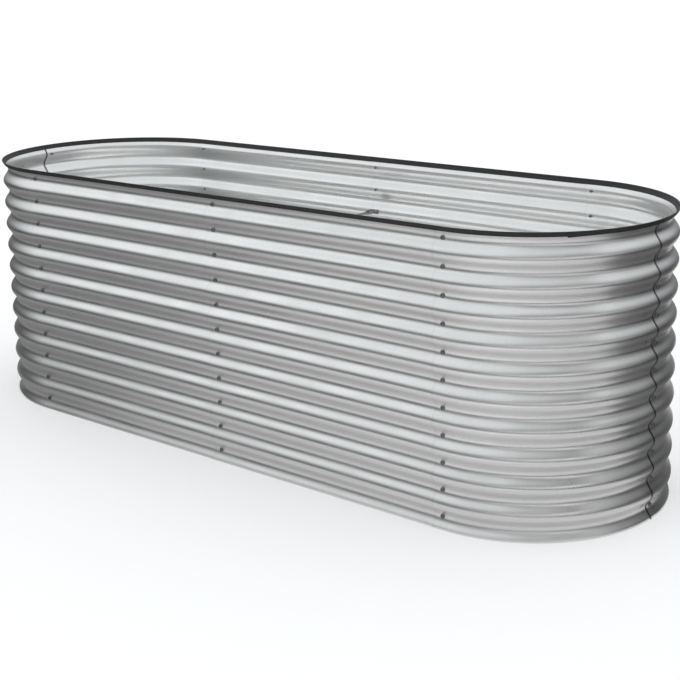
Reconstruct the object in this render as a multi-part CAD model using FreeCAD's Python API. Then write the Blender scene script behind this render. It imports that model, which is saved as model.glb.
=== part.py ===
import FreeCAD, Part
import math
import os

# Raised garden bed: a long, round-ended wall of eight corrugated steel panels, four straight
# and four rolled to a quarter round, bolted together at eight lapped seams. A rubber edge
# trim covers the rim, and one brace ties the two long sides together. There is no floor.
#
# Millimetres. Z is up, the bed stands on Z = 0 and is centred on the Z axis. X runs along
# its length, and the front is the -Y side.

# ---- Plan ----
side_length = 1600.0            # between the two outer bolt seams of a long side
end_radius = 400.0              # from the axis of a rounded end to the middle of the wall
lap_reach = 24.0                # sheet past the bolt seam, at both ends of a panel
seam_margin = 8.0               # straight wall past a long side's outer seam, before it curves

# ---- Corrugated sheet ----
sheet_thickness = 0.8
rib_pitch = 75.0
rib_depth = 18.0                # from a valley to a crest, at the middle of the sheet
rib_bend_radius = 18.0          # of crests and valleys, to the middle of the sheet
valley_count = 11               # each holds one row of bolts
edge_margin = 30.5              # from the lowest and the highest bolt row to the sheet's edges

# ---- Bolts and nuts of the seams ----
bolt_diameter = 6.0
head_diameter = 12.5
head_height = 3.4
head_crown = 6.0                # across the top of the head
bolt_tip = 3.0                  # bolt past its nut
nut_width = 11.0                # across the corners
nut_height = 5.0

# ---- Rim trim ----
trim_wall = 1.6
trim_height = 14.0
trim_joint_angle = -45.0        # where its two ends meet on the right end, from the X axis
trim_joint_gap = 1.0

# ---- Brace between the long sides ----
brace_row = 3                   # bolt row that holds it, counted from the rim
brace_diameter = 8.0
strip_thickness = 3.0           # its ends are pressed flat
strip_height = 16.0
strip_length = 28.0             # flattened leg, from the wall to where it turns round again
strip_bend_radius = 4.0         # inside the bend between foot and leg
taper_length = 14.0             # from the flat strip to the round rod
foot_offset = 16.0              # from the rod's axis to the bolt through the foot
foot_tail = 9.0                 # foot past that bolt
pilot_diameter = 6.0
pilot_reach = 14.0              # from the wall to the hole in the leg
wing_hub_diameter = 11.0
wing_hub_height = 7.0
wing_span = 24.0
wing_thickness = 2.0
wing_rise = 7.0                 # of the wing tips past the hub
wing_width = 3.5                # of a wing's tip
wing_turn = 20.0                # how far the wings stand from level

# ---- Clearances ----
lap_gap = 0.1                   # between the two sheets of a lap
hole_gap = 0.25                 # round a bolt in its hole
thread_gap = 0.05               # round a bolt in its nut
seat_gap = 0.05                 # under heads, nuts and feet
trim_gap = 0.1                  # between the trim's groove and the sheets

# ---- How finely round forms are drawn ----
bend_chords = 3                 # flats in each crest and valley
corner_flats = 8                # flats in each quarter round
bolt_sides = 8
bore_sides = 6                  # of nuts, bores and bolt holes

# ---- Worked out from the values above ----
half_pitch = rib_pitch / 2
bend_centre = rib_bend_radius - rib_depth / 2
flank_angle = math.asin(rib_bend_radius / math.hypot(bend_centre, half_pitch / 2)) - math.atan(
    2 * bend_centre / half_pitch)
lap_step = sheet_thickness / math.cos(flank_angle) + lap_gap
sheet_height = (valley_count - 1) * rib_pitch + 2 * edge_margin
rows = [edge_margin + index * rib_pitch for index in range(valley_count)]
seam_x = side_length / 2
bend_start_x = seam_x + seam_margin
side_lap_angle = math.degrees(math.asin((lap_reach - seam_margin) / end_radius))
lap_angle = math.degrees(math.asin(lap_reach / end_radius))
end_x = bend_start_x + end_radius * math.cos(math.radians(lap_angle))
half_sheet = sheet_thickness / 2

# A panel's left end, seen from outside, lies over its neighbour's right end.
outer_level = lap_step / 2
inner_level = -lap_step / 2

UP = FreeCAD.Vector(0, 0, 1)
ORIGIN = FreeCAD.Vector(0, 0, 0)


def vec(x, y, z=0.0):
    return FreeCAD.Vector(x, y, z)


# ---- Seams: a point on the middle line of the wall, and the outward direction ----
seams = {
    "front_left": (vec(-seam_x, -end_radius), vec(0, -1)),
    "front_middle": (vec(0, -end_radius), vec(0, -1)),
    "front_right": (vec(seam_x, -end_radius), vec(0, -1)),
    "right_end": (vec(end_x, 0), vec(1, 0)),
    "back_right": (vec(seam_x, end_radius), vec(0, 1)),
    "back_middle": (vec(0, end_radius), vec(0, 1)),
    "back_left": (vec(-seam_x, end_radius), vec(0, 1)),
    "left_end": (vec(-end_x, 0), vec(-1, 0)),
}
braced_seams = ("front_middle", "back_middle")
brace_z = rows[valley_count - brace_row]


# ---- Basic solids ----

def ring_of_points(centre, axis, radius, sides):
    """Corners of a regular polygon round an axis, one of them level with its centre."""
    side = axis.cross(UP)
    return [
        centre + side * radius * math.cos(turn) + UP * radius * math.sin(turn)
        for turn in (2 * math.pi * index / sides for index in range(sides))
    ]


def polygon_wire(points):
    return Part.makePolygon(points + points[:1])


def prism(centre, axis, diameter, sides, length):
    """Many-sided rod that starts at centre and runs along a level axis."""
    outline = polygon_wire(ring_of_points(centre, axis, diameter / 2, sides))
    return Part.Face(outline).extrude(axis * length)


# ---- Corrugation ----

def bend_points(index, side):
    """Corners of one bend as (outward, height); even bends are valleys, odd ones crests."""
    outward = 1 if index % 2 else -1
    middle = rows[0] + index * half_pitch
    radius = rib_bend_radius + outward * side
    points = []
    for corner in range(bend_chords + 1):
        turn = flank_angle * (2 * corner / bend_chords - 1)
        level = outward * (radius * math.cos(turn) - bend_centre)
        points.append((level, middle + radius * math.sin(turn)))
    return points


def sheet_face_points(side):
    """Every corner of one face of the sheet, side being its distance from the middle."""
    bends = range(-2, 2 * valley_count + 2)
    return [point for index in bends for point in bend_points(index, side)]


def level_at(z, side):
    """How far outward the sheet's face lies from the wall's middle line at height z."""
    points = sheet_face_points(side)
    for low, high in zip(points, points[1:]):
        if low[1] <= z <= high[1]:
            share = (z - low[1]) / (high[1] - low[1])
            return low[0] + share * (high[0] - low[0])
    raise ValueError("height outside the corrugation")


def face_outline(side, low, high):
    """Points up one face of the sheet from height low to height high."""
    inside = [point for point in sheet_face_points(side) if low < point[1] < high]
    return [(level_at(low, side), low)] + inside + [(level_at(high, side), high)]


def sheet_outline():
    """Closed cross-section of the sheet, cut level at the top and the bottom."""
    inner = face_outline(-half_sheet, 0, sheet_height)
    outer = face_outline(half_sheet, 0, sheet_height)
    return outer + inner[::-1]


# ---- Stations: a cross-section stood upright somewhere along the wall ----

def front_station(outline, x, level):
    """The outline on the front wall, square to X."""
    return polygon_wire([vec(x, -(end_radius + level + out), z) for out, z in outline])


def corner_angles():
    """Angles of the flats' ends, from the lap at the side seam to the right end's lap."""
    first = side_lap_angle - 90
    sweep = -lap_angle - first
    flats = [first + sweep * index / corner_flats for index in range(corner_flats + 1)]
    return [-90] + flats + [lap_angle]


def flat_share(angle):
    """Share of the full radius at which the flats lie at an angle of the front right corner."""
    for low, high in zip(corner_angles(), corner_angles()[1:]):
        if low <= angle <= high:
            half_flat = math.radians(high - low) / 2
            from_middle = math.radians(angle - (low + high) / 2)
            return math.cos(half_flat) / math.cos(from_middle)
    return 1.0


def round_station(outline, centre, angle):
    """The outline on a rounded end, at an angle from the X axis."""
    direction = vec(math.cos(math.radians(angle)), math.sin(math.radians(angle)))
    share = flat_share(angle)
    points = [centre + direction * (end_radius + out) * share + UP * z for out, z in outline]
    return polygon_wire(points)


def bolt_holes(seam, level):
    """Drills through the sheet that lies at one level of a seam's lap."""
    point, outward = seams[seam]
    diameter = bolt_diameter + 2 * hole_gap
    start = point + outward * (level - rib_depth)
    drills = [prism(start + UP * z, outward, diameter, bore_sides, rib_depth) for z in rows]
    return Part.Compound(drills)


# ---- Panels ----

def side_panel(middle_level, side_level):
    """Front panel right of the middle: straight, with its far end bent to follow the corner."""
    outline = sheet_outline()
    slope = (side_level - middle_level) / seam_x
    start_level = middle_level - slope * lap_reach
    bend_level = side_level + slope * seam_margin
    section = Part.Face(front_station(outline, -lap_reach, start_level))
    straight = section.extrude(vec(bend_start_x + lap_reach, start_level - bend_level))
    bend = front_station(outline, bend_start_x, bend_level)
    end = round_station(outline, vec(bend_start_x, -bend_level), side_lap_angle - 90)
    panel = straight.fuse(Part.makeLoft([bend, end], True, True))
    panel = panel.cut(bolt_holes("front_middle", middle_level))
    return panel.cut(bolt_holes("front_right", side_level))


def corner_panel(side_level, end_level):
    """Quarter-round panel of the front right corner, with a straight tab at its side seam."""
    outline = sheet_outline()
    centre = vec(bend_start_x + end_level, -side_level)
    stations = [front_station(outline, seam_x - lap_reach, side_level)]
    stations += [round_station(outline, centre, angle) for angle in corner_angles()]
    panel = Part.makeLoft(stations, True, True)
    panel = panel.cut(bolt_holes("front_right", side_level))
    return panel.cut(bolt_holes("right_end", end_level))


def turned(shape):
    """The same piece on the diagonally opposite side of the bed."""
    return shape.rotated(ORIGIN, UP, 180)


def mirrored(shape):
    """The piece's mirror image on the other long side."""
    return shape.mirror(ORIGIN, vec(0, 1))


def swapped(shape):
    """The piece's mirror image on the other half of the same side."""
    return shape.mirror(ORIGIN, vec(1, 0))


def make_panels():
    front_left = swapped(side_panel(inner_level, outer_level))
    front_right = side_panel(outer_level, inner_level)
    corner_front_right = corner_panel(outer_level, inner_level)
    corner_back_right = mirrored(corner_panel(inner_level, outer_level))
    return {
        "side_panel_front_left": front_left,
        "side_panel_front_right": front_right,
        "side_panel_back_right": turned(front_left),
        "side_panel_back_left": turned(front_right),
        "corner_panel_front_right": corner_front_right,
        "corner_panel_back_right": corner_back_right,
        "corner_panel_back_left": turned(corner_front_right),
        "corner_panel_front_left": turned(corner_back_right),
    }


# ---- Seam fasteners ----

def head_seat(z):
    """Level of a bolt head's underside: its rim bridges the outer sheet's valley."""
    return outer_level + level_at(z + head_diameter / 2, half_sheet) + seat_gap


def nut_seat(z):
    """Level of a nut's face against the inner sheet."""
    return inner_level + level_at(z, -half_sheet) - seat_gap


def clamped_inside(seam, z):
    """Thickness of what lies between the inner sheet and the nut."""
    braced = seam in braced_seams and z == brace_z
    return strip_thickness + seat_gap if braced else 0.0


def bolt(seam, z):
    """Low-crowned bolt: a tapered head outside and a shank through the lap."""
    point, outward = seams[seam]
    seat = point + outward * head_seat(z) + UP * z
    rim = ring_of_points(seat, outward, head_diameter / 2, bolt_sides)
    crown = ring_of_points(seat + outward * head_height, outward, head_crown / 2, bolt_sides)
    head = Part.makeLoft([polygon_wire(rim), polygon_wire(crown)], True, True)
    fastener_height = wing_hub_height if clamped_inside(seam, z) else nut_height
    length = head_seat(z) - nut_seat(z) + clamped_inside(seam, z) + fastener_height + bolt_tip
    shank = prism(seat, -outward, bolt_diameter, bore_sides, length)
    return head.fuse(shank)


def nut(seam, z):
    """Hexagon nut against the inner sheet."""
    point, outward = seams[seam]
    face = point + outward * nut_seat(z) + UP * z
    body = prism(face, -outward, nut_width, bore_sides, nut_height)
    bore = prism(face, -outward, bolt_diameter + 2 * thread_gap, bore_sides, nut_height)
    return body.cut(bore)


def make_fasteners():
    parts = {}
    for seam in seams:
        parts["bolts_" + seam] = Part.Compound([bolt(seam, z) for z in rows])
        nut_rows = [z for z in rows if not clamped_inside(seam, z)]
        parts["nuts_" + seam] = Part.Compound([nut(seam, z) for z in nut_rows])
    return parts


# ---- Rim trim ----

def trim_outline():
    """U-shaped section that hugs the top of the wall, wide enough for the doubled laps."""
    groove = lap_step / 2 + half_sheet + trim_gap
    skin = groove + trim_wall
    top = sheet_height + trim_wall
    bottom = top - trim_height
    outside = face_outline(skin, bottom, top)
    inside = face_outline(-skin, bottom, top)
    groove_inside = face_outline(-groove, bottom, sheet_height)
    groove_outside = face_outline(groove, bottom, sheet_height)
    return outside + inside[::-1] + groove_inside + groove_outside[::-1]


def make_trim():
    """One strip round the whole rim, from its joint on the right end back to it."""
    outline = trim_outline()
    right = vec(bend_start_x, 0)
    left = vec(-bend_start_x, 0)
    half_gap = math.degrees(trim_joint_gap / 2 / end_radius)
    half_turn = [angle for angle in corner_angles() if angle < 0]
    half_turn += [-angle for angle in half_turn[::-1]]
    start = trim_joint_angle + half_gap
    finish = trim_joint_angle - half_gap
    stations = [round_station(outline, right, start)]
    stations += [round_station(outline, right, angle) for angle in half_turn if angle > start]
    stations += [round_station(outline, left, angle + 180) for angle in half_turn]
    stations += [round_station(outline, right, angle) for angle in half_turn if angle < finish]
    stations += [round_station(outline, right, finish)]
    return Part.makeLoft(stations, True, True)


# ---- Brace ----

def brace_end(wall_y):
    """Back end of the brace: a foot against the wall, a flat leg and a taper to the rod."""
    low = brace_z - strip_height / 2
    rod_x = -foot_offset
    half = strip_thickness / 2
    outer = strip_bend_radius + strip_thickness
    bend_x = rod_x - half + outer
    bend_y = wall_y - outer
    diagonal = math.sqrt(0.5)
    leg_y = wall_y - strip_length

    def spot(radius):
        return vec(bend_x - radius * diagonal, bend_y + radius * diagonal, low)

    corners = [
        vec(rod_x - half, leg_y, low),
        vec(rod_x - half, bend_y, low),
        vec(bend_x, wall_y, low),
        vec(foot_tail, wall_y, low),
        vec(foot_tail, wall_y - strip_thickness, low),
        vec(bend_x, wall_y - strip_thickness, low),
        vec(rod_x + half, bend_y, low),
        vec(rod_x + half, leg_y, low),
    ]
    edges = [
        Part.LineSegment(corners[0], corners[1]),
        Part.Arc(corners[1], spot(outer), corners[2]),
        Part.LineSegment(corners[2], corners[3]),
        Part.LineSegment(corners[3], corners[4]),
        Part.LineSegment(corners[4], corners[5]),
        Part.Arc(corners[5], spot(strip_bend_radius), corners[6]),
        Part.LineSegment(corners[6], corners[7]),
        Part.LineSegment(corners[7], corners[0]),
    ]
    strip = Part.Face(Part.Wire([edge.toShape() for edge in edges])).extrude(UP * strip_height)
    foot_hole = Part.makeCylinder(
        bolt_diameter / 2 + hole_gap, 2 * strip_thickness,
        vec(0, wall_y - strip_thickness - half, brace_z), vec(0, 1))
    pilot_hole = Part.makeCylinder(
        pilot_diameter / 2, 2 * strip_thickness,
        vec(rod_x - strip_thickness, wall_y - pilot_reach, brace_z), vec(1, 0))
    return strip.cut(foot_hole).cut(pilot_hole).fuse(brace_taper(leg_y))


def brace_taper(leg_y):
    """Where the flat strip swells back into the round rod, moving away from the wall."""
    half_thick = strip_thickness / 2
    half_high = strip_height / 2
    reach = brace_diameter / 2 * math.sqrt(0.5)
    signs = [(1, 1), (-1, 1), (-1, -1), (1, -1)]
    strip_corners = [
        vec(-foot_offset + a * half_thick, leg_y, brace_z + b * half_high) for a, b in signs]
    rod_y = leg_y - taper_length
    rod_corners = [vec(-foot_offset + a * reach, rod_y, brace_z + b * reach) for a, b in signs]
    middles = [(0, 1), (-1, 0), (0, -1), (1, 0)]
    radius = brace_diameter / 2
    arcs = []
    for index, (a, b) in enumerate(middles):
        middle = vec(-foot_offset + a * radius, rod_y, brace_z + b * radius)
        after = rod_corners[(index + 1) % 4]
        arcs.append(Part.Arc(rod_corners[index], middle, after).toShape())
    return Part.makeLoft([polygon_wire(strip_corners), Part.Wire(arcs)], True, True)


def make_brace():
    wall_y = end_radius + nut_seat(brace_z)
    rod_end = wall_y - strip_length - taper_length
    rod = Part.makeCylinder(
        brace_diameter / 2, 2 * rod_end, vec(-foot_offset, -rod_end, brace_z), vec(0, 1))
    back = brace_end(wall_y)
    return rod.fuse([back, mirrored(back)])


def wing_nut():
    """Wing nut that holds the brace's foot to the back wall, its wings turned off level."""
    face_y = end_radius + nut_seat(brace_z) - strip_thickness - seat_gap
    away = vec(0, -1)
    face = vec(0, face_y, brace_z)
    hub = prism(face, away, wing_hub_diameter, bolt_sides, wing_hub_height)
    half = wing_thickness / 2
    for sign in (-1, 1):
        root = sign * wing_hub_diameter / 4
        tip = sign * wing_span / 2
        inner_tip = sign * (wing_span / 2 - wing_width)
        hub_top = face_y - wing_hub_height
        outline = [
            vec(root, face_y - wing_thickness, brace_z - half),
            vec(tip, hub_top, brace_z - half),
            vec(tip, hub_top - wing_rise, brace_z - half),
            vec(inner_tip, hub_top - wing_rise, brace_z - half),
            vec(root, hub_top, brace_z - half),
        ]
        wing = Part.Face(polygon_wire(outline)).extrude(UP * wing_thickness)
        hub = hub.fuse(wing)
    bore = prism(face, away, bolt_diameter + 2 * thread_gap, bore_sides, wing_hub_height)
    return hub.rotated(face, vec(0, 1), wing_turn).cut(bore)


def make_parts():
    parts = make_panels()
    parts.update(make_fasteners())
    parts["rim_trim"] = make_trim()
    parts["brace"] = make_brace()
    parts["brace_wing_nuts"] = Part.Compound([wing_nut(), mirrored(wing_nut())])
    return parts


os.makedirs("parts", exist_ok=True)
for node, shape in make_parts().items():
    shape.exportStep("parts/" + node + ".step")
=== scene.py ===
import math
import random

import bmesh
import bpy
from bpy.props import FloatProperty, FloatVectorProperty, IntProperty, PointerProperty
from mathutils import Matrix, Vector


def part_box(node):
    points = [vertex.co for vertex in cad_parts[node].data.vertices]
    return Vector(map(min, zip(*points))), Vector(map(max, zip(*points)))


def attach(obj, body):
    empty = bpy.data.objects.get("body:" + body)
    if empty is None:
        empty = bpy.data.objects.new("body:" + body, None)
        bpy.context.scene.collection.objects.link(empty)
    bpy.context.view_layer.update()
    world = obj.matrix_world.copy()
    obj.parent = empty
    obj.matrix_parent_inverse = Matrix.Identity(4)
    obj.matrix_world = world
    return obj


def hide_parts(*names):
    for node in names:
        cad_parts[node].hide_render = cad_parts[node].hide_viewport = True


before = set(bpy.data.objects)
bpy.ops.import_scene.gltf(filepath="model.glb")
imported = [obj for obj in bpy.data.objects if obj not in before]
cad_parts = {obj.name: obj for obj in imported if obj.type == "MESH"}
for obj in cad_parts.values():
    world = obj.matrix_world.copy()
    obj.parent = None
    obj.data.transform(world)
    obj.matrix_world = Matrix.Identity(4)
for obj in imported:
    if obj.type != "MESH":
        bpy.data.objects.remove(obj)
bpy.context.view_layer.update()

bl_info = {
    "name": "Raised garden bed",
    "version": (1, 0, 0),
    "blender": (4, 5, 0),
    "location": "View3D > Sidebar > Garden bed",
    "description": "Models a round-ended bed of corrugated steel panels round its frame",
    "category": "Object",
}

# Boxes of two of the frame's nodes, for sizes that the CAD has set.
SEAM_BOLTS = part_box("bolts_front_right")
FIRST_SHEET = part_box("side_panel_front_right")

# The bed's one rigid body, and the material that all its sheets share.
BODY = "root"
SHEET_FINISH = "sheet_finish"

# How close two coordinates are when they count as one.
NEAR = 1e-6
CLOSE = 1e-5

# Metres more than the bolt's thread, for the holes in the brace's feet.
HOLE_CLEARANCE = 0.0004

# Which way each panel is mirrored from the front right one.
MIRRORED = {"front_right": (1, 1), "back_left": (-1, -1), "front_left": (-1, 1),
            "back_right": (1, -1)}

# Side of the bed along X, whether the seam is at a rounded end, and its heading in degrees.
SEAMS = {
    "front_left": (-1, 0, -90),
    "front_middle": (0, 0, -90),
    "front_right": (1, 0, -90),
    "right_end": (1, 1, 0),
    "back_right": (1, 0, 90),
    "back_middle": (0, 0, 90),
    "back_left": (-1, 0, 90),
    "left_end": (-1, 1, 180),
}

# The camera: place, yaw, pitch and roll in degrees, and focal length in the photo's pixels.
CAMERA_PLACE = (2.59842, -3.03953, 1.47825)
CAMERA_TURN = (-38.796, 12.28, -0.989)
CAMERA_SHIFT = -0.15
FOCAL_PIXELS = 1303.66
PHOTO_WIDTH = 680
SENSOR_WIDTH = 36

# The floor's glow, and how much stronger it is in reflections.
FLOOR_GLOW = 0.26
MIRRORED_GLOW = 0.3

# The glowing studio card that only reflections see, painted with the shade of their surroundings:
# its inner edge near the wall, radius and height.
RING_START = (1.19, 0.39)
RING_RADIUS = 3.2
RING_HEIGHT = 4.4

# Painted tones of the card's glow as (place, grey): on the floor along X, and at eye level on the
# way round.
FLOOR_TONES = ((0.326, 0.26), (0.388, 0.32), (0.467, 0.56), (0.554, 0.64), (0.598, 0.7),
               (0.66, 0.72), (0.7, 0.72), (0.76, 0.68))
EYE_TONES = ((0.06, 0.09), (0.14, 0.15), (0.2, 0.17), (0.28, 0.24), (0.42, 0.24), (0.47, 0.13),
             (0.55, 0.05), (0.62, 0.05), (0.71, 0.2), (1.0, 0.1))

# Where the card fades out, as a share of its full height, on the way round.
CARD_TOPS = ((0.06, 0.43), (0.08, 0.44), (0.145, 0.58), (0.18, 0.68), (0.25, 0.68),
             (0.33, 0.72), (0.37, 0.98), (0.485, 0.98), (0.51, 0.72), (0.55, 0.63), (0.6, 0.58),
             (0.67, 0.43))

# The pale part low down in front of the round end: by height, and on the way round.
PALE_HEIGHTS = ((0.12, 0.0), (0.2, 1.0), (0.33, 1.0), (0.4, 0.0))
PALE_PART = ((0.24, 0.0), (0.3, 0.4), (0.34, 0.8), (0.45, 1.0), (0.49, 0.6), (0.54, 0.25),
             (0.6, 0.12), (0.7, 0.0))


# ---- Sizes and colours that a user would change ----

def length(name, description, default):
    return FloatProperty(name=name, description=description, default=default, unit="LENGTH")


def colour(name, description, default):
    return FloatVectorProperty(
        name=name, description=description, default=default, subtype="COLOR", size=3, min=0, max=1)


class BedSizes(bpy.types.PropertyGroup):
    """Lengths of the bed, its corrugation, seams, trim and brace."""

    seam_x: length("Seam distance", "From the middle of the bed to a side's outer bolt seam",
                   (SEAM_BOLTS[0].x + SEAM_BOLTS[1].x) / 2)
    end_radius: length("End radius", "From a rounded end's axis to the middle of the wall", 0.4)
    lap_reach: length("Lap reach", "Sheet past the bolt seam", 0.024)
    seam_margin: length("Seam margin", "Straight wall past a side's outer seam", 0.008)
    sheet_thickness: length("Sheet thickness", "Gauge of the steel sheet", 0.0008)
    sheet_height: length("Sheet height", "From the ground to the sheet's top edge",
                         FIRST_SHEET[1].z)
    rib_pitch: length("Rib pitch", "From one crest to the next", 0.075)
    rib_depth: length("Rib depth", "From a valley to a crest", 0.018)
    edge_margin: length("Edge margin", "From the lowest bolt row to the sheet's edge", 0.0305)
    rib_count: IntProperty(
        name="Bolt rows", description="Valleys of the sheet, each with a bolt", default=11)
    lap_gap: length("Lap gap", "Between the two sheets of a lap", 0.0001)
    head_diameter: length("Head diameter", "Across a bolt's head", 0.0125)
    head_height: length("Head height", "From the sheet to the top of a bolt's head", 0.0034)
    bolt_diameter: length("Bolt diameter", "Thread of the bolts", 0.006)
    bolt_tip: length("Bolt tip", "Bolt past its nut", 0.003)
    nut_width: length("Nut width", "Across a nut's corners", 0.011)
    nut_height: length("Nut height", "Along the bolt", 0.005)
    trim_wall: length("Trim wall", "Rubber on either side of the sheet", 0.0016)
    trim_height: length("Trim height", "Of the rubber strip on the rim", 0.014)
    trim_gap: length("Trim gap", "Between the trim's groove and the sheets", 0.0001)
    joint_angle: FloatProperty(
        name="Joint angle", description="Where the trim's ends meet, from the X axis",
        default=math.radians(-45), unit="ROTATION")
    joint_gap: length("Joint gap", "Between the trim's two ends", 0.001)
    lip_drop: length("Lip drop", "How much lower one outer lip hangs at the trim's joint", 0.0028)
    seat_gap: length("Seat gap", "Under heads, nuts and feet", 0.00005)
    brace_row: IntProperty(
        name="Brace row", description="Bolt row that holds the brace, from the rim", default=3)
    brace_diameter: length("Brace diameter", "Of the rod between the long sides", 0.008)
    strip_thickness: length("Strip thickness", "Of the brace's flattened ends", 0.003)
    strip_height: length("Strip height", "Of the brace's flattened ends", 0.016)
    strip_length: length("Strip length", "Flattened leg, from the wall to its taper", 0.028)
    strip_bend: length("Strip bend", "Inside the bend between foot and leg", 0.004)
    taper_length: length("Taper length", "From the flat strip to the round rod", 0.014)
    foot_offset: length("Foot offset", "From the rod's axis to the bolt", 0.016)
    foot_tail: length("Foot tail", "Foot past that bolt", 0.009)
    pilot_reach: length("Pilot hole", "From the wall to the hole in the leg", 0.014)
    hub_diameter: length("Hub diameter", "Of a wing nut", 0.011)
    hub_height: length("Hub height", "Of a wing nut", 0.007)
    wing_span: length("Wing span", "Over both wings", 0.024)
    wing_thickness: length("Wing thickness", "Of each wing", 0.002)
    wing_rise: length("Wing rise", "Of the wing tips past the hub", 0.007)
    wing_width: length("Wing width", "Of a wing's tip", 0.0035)
    wing_turn: FloatProperty(
        name="Wing turn", description="How far the wings stand from level",
        default=math.radians(20), unit="ROTATION")


class BedColours(bpy.types.PropertyGroup):
    """Colours of the finishes."""

    sheet: colour("Sheet", "Zinc-aluminium coated steel", (0.745, 0.75, 0.745))
    bolts: colour("Bolts", "Zinc plating of the bolts", (0.22, 0.22, 0.22))
    nuts: colour("Nuts", "Zinc plating of the nuts", (0.45, 0.45, 0.45))
    trim: colour("Trim", "Black rubber on the rim", (0.016, 0.016, 0.017))
    brace: colour("Brace", "Zinc-plated rod", (0.45, 0.46, 0.47))
    wing_nuts: colour("Wing nuts", "Cast and plated", (0.4, 0.4, 0.4))
    floor: colour("Floor", "Pale studio floor", (0.8, 0.8, 0.8))


# ---- Modelling helpers ----

def deselect_all():
    if bpy.context.object and bpy.context.object.mode != "OBJECT":
        bpy.ops.object.mode_set(mode="OBJECT")
    bpy.ops.object.select_all(action="DESELECT")


def activate(piece):
    deselect_all()
    piece.select_set(True)
    bpy.context.view_layer.objects.active = piece


def new_piece(name):
    """The primitive just added, named, with its place and turn moved into its mesh."""
    piece = bpy.context.object
    piece.name = name
    piece.data.name = name
    bpy.ops.object.transform_apply(location=True, rotation=True, scale=True)
    return piece


def edit(piece):
    activate(piece)
    bpy.ops.object.mode_set(mode="EDIT")
    bpy.ops.mesh.select_all(action="SELECT")


def leave_edit():
    bpy.ops.object.mode_set(mode="OBJECT")


def pick(kind, test):
    """Selects the vertices, edges or faces of the mesh in edit mode that pass a test."""
    piece = bpy.context.object
    bpy.ops.mesh.select_mode(type={"verts": "VERT", "edges": "EDGE", "faces": "FACE"}[kind])
    bpy.ops.mesh.select_all(action="DESELECT")
    mesh = bmesh.from_edit_mesh(piece.data)
    mesh.normal_update()
    found = 0
    for part in getattr(mesh, kind):
        if test(part):
            part.select = True
            found += 1
    mesh.select_flush_mode()
    bmesh.update_edit_mesh(piece.data)
    if not found:
        raise RuntimeError(f"nothing to shape on {piece.name}")


def move(x=0.0, y=0.0, z=0.0):
    bpy.ops.transform.translate(value=(x, y, z))


def grow(x=1.0, y=1.0, z=1.0, about=(0, 0, 0)):
    bpy.ops.transform.resize(value=(x, y, z), center_override=about)


def turn_outwards():
    bpy.ops.mesh.select_all(action="SELECT")
    bpy.ops.mesh.normals_make_consistent(inside=False)


def apply_modifier(piece, kind, **settings):
    activate(piece)
    modifier = piece.modifiers.new(kind.title(), kind)
    for key, value in settings.items():
        setattr(modifier, key, value)
    bpy.ops.object.modifier_apply(modifier=modifier.name)


def cut_with(piece, tool, operation="DIFFERENCE"):
    """Boolean with a tool piece, which is then thrown away."""
    apply_modifier(piece, "BOOLEAN", object=tool, operation=operation, solver="EXACT")
    bpy.data.objects.remove(tool)


def smooth(piece, degrees=35):
    activate(piece)
    bpy.ops.object.shade_smooth_by_angle(angle=math.radians(degrees))


def copy_of(piece, matrix):
    """A copy with its own mesh, moved by a matrix."""
    twin = piece.copy()
    twin.data = piece.data.copy()
    twin.data.transform(matrix)
    bpy.context.scene.collection.objects.link(twin)
    return twin


def join(pieces, name):
    deselect_all()
    for piece in pieces:
        piece.select_set(True)
    bpy.context.view_layer.objects.active = pieces[0]
    if len(pieces) > 1:
        bpy.ops.object.join()
    whole = bpy.context.object
    whole.name = name
    whole.data.name = name
    return whole


def finish_piece(piece, material, slot, *nodes):
    """Gives a piece its material, what it replaces and the body that it rides on."""
    piece.data.materials.clear()
    piece.data.materials.append(material)
    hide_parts(*nodes)
    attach(piece, BODY)


# ---- Corrugation ----

def flank_angle(sizes):
    """How far the steepest part of a rib stands from upright."""
    return math.atan(math.pi * sizes.rib_depth / sizes.rib_pitch)


def lap_step(sizes):
    """Level between the two sheets of a lap."""
    return sizes.sheet_thickness / math.cos(flank_angle(sizes)) + sizes.lap_gap


def bolt_rows(sizes):
    return [sizes.edge_margin + row * sizes.rib_pitch for row in range(sizes.rib_count)]


def level_at(sizes, z):
    """How far outward the sheet's middle lies from the wall's middle line at a height."""
    turn = 2 * math.pi * (z - sizes.edge_margin) / sizes.rib_pitch
    return -sizes.rib_depth / 2 * math.cos(turn)


def corrugated_strip(sizes, name, left, right):
    """Upright sheet on the front wall, pressed into round waves and cut level at both edges."""
    cells = 24
    step = sizes.rib_pitch / cells
    lowest = sizes.edge_margin - sizes.rib_pitch
    count = (sizes.rib_count + 1) * cells
    bpy.ops.mesh.primitive_grid_add(
        x_subdivisions=1, y_subdivisions=count, size=1, rotation=(math.pi / 2, 0, 0))
    piece = new_piece(name)
    edit(piece)
    grow(right - left, 1, count * step)
    move((left + right) / 2, -sizes.end_radius, lowest + count * step / 2)
    for phase in range(cells):
        pick("verts", lambda v: round((v.co.z - lowest) / step) % cells == phase)
        move(y=-level_at(sizes, sizes.edge_margin + phase * step))
    bpy.ops.mesh.select_all(action="SELECT")
    bpy.ops.mesh.bisect(plane_co=(0, 0, 0), plane_no=(0, 0, 1), clear_inner=True)
    bpy.ops.mesh.select_all(action="SELECT")
    top = (0, 0, sizes.sheet_height)
    bpy.ops.mesh.bisect(plane_co=top, plane_no=(0, 0, 1), clear_outer=True)
    return piece


def pick_end(x):
    """Selects the upright edge of a strip at one x."""
    pick("edges", lambda e: all(abs(v.co.x - x) < CLOSE for v in e.verts))


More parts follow.
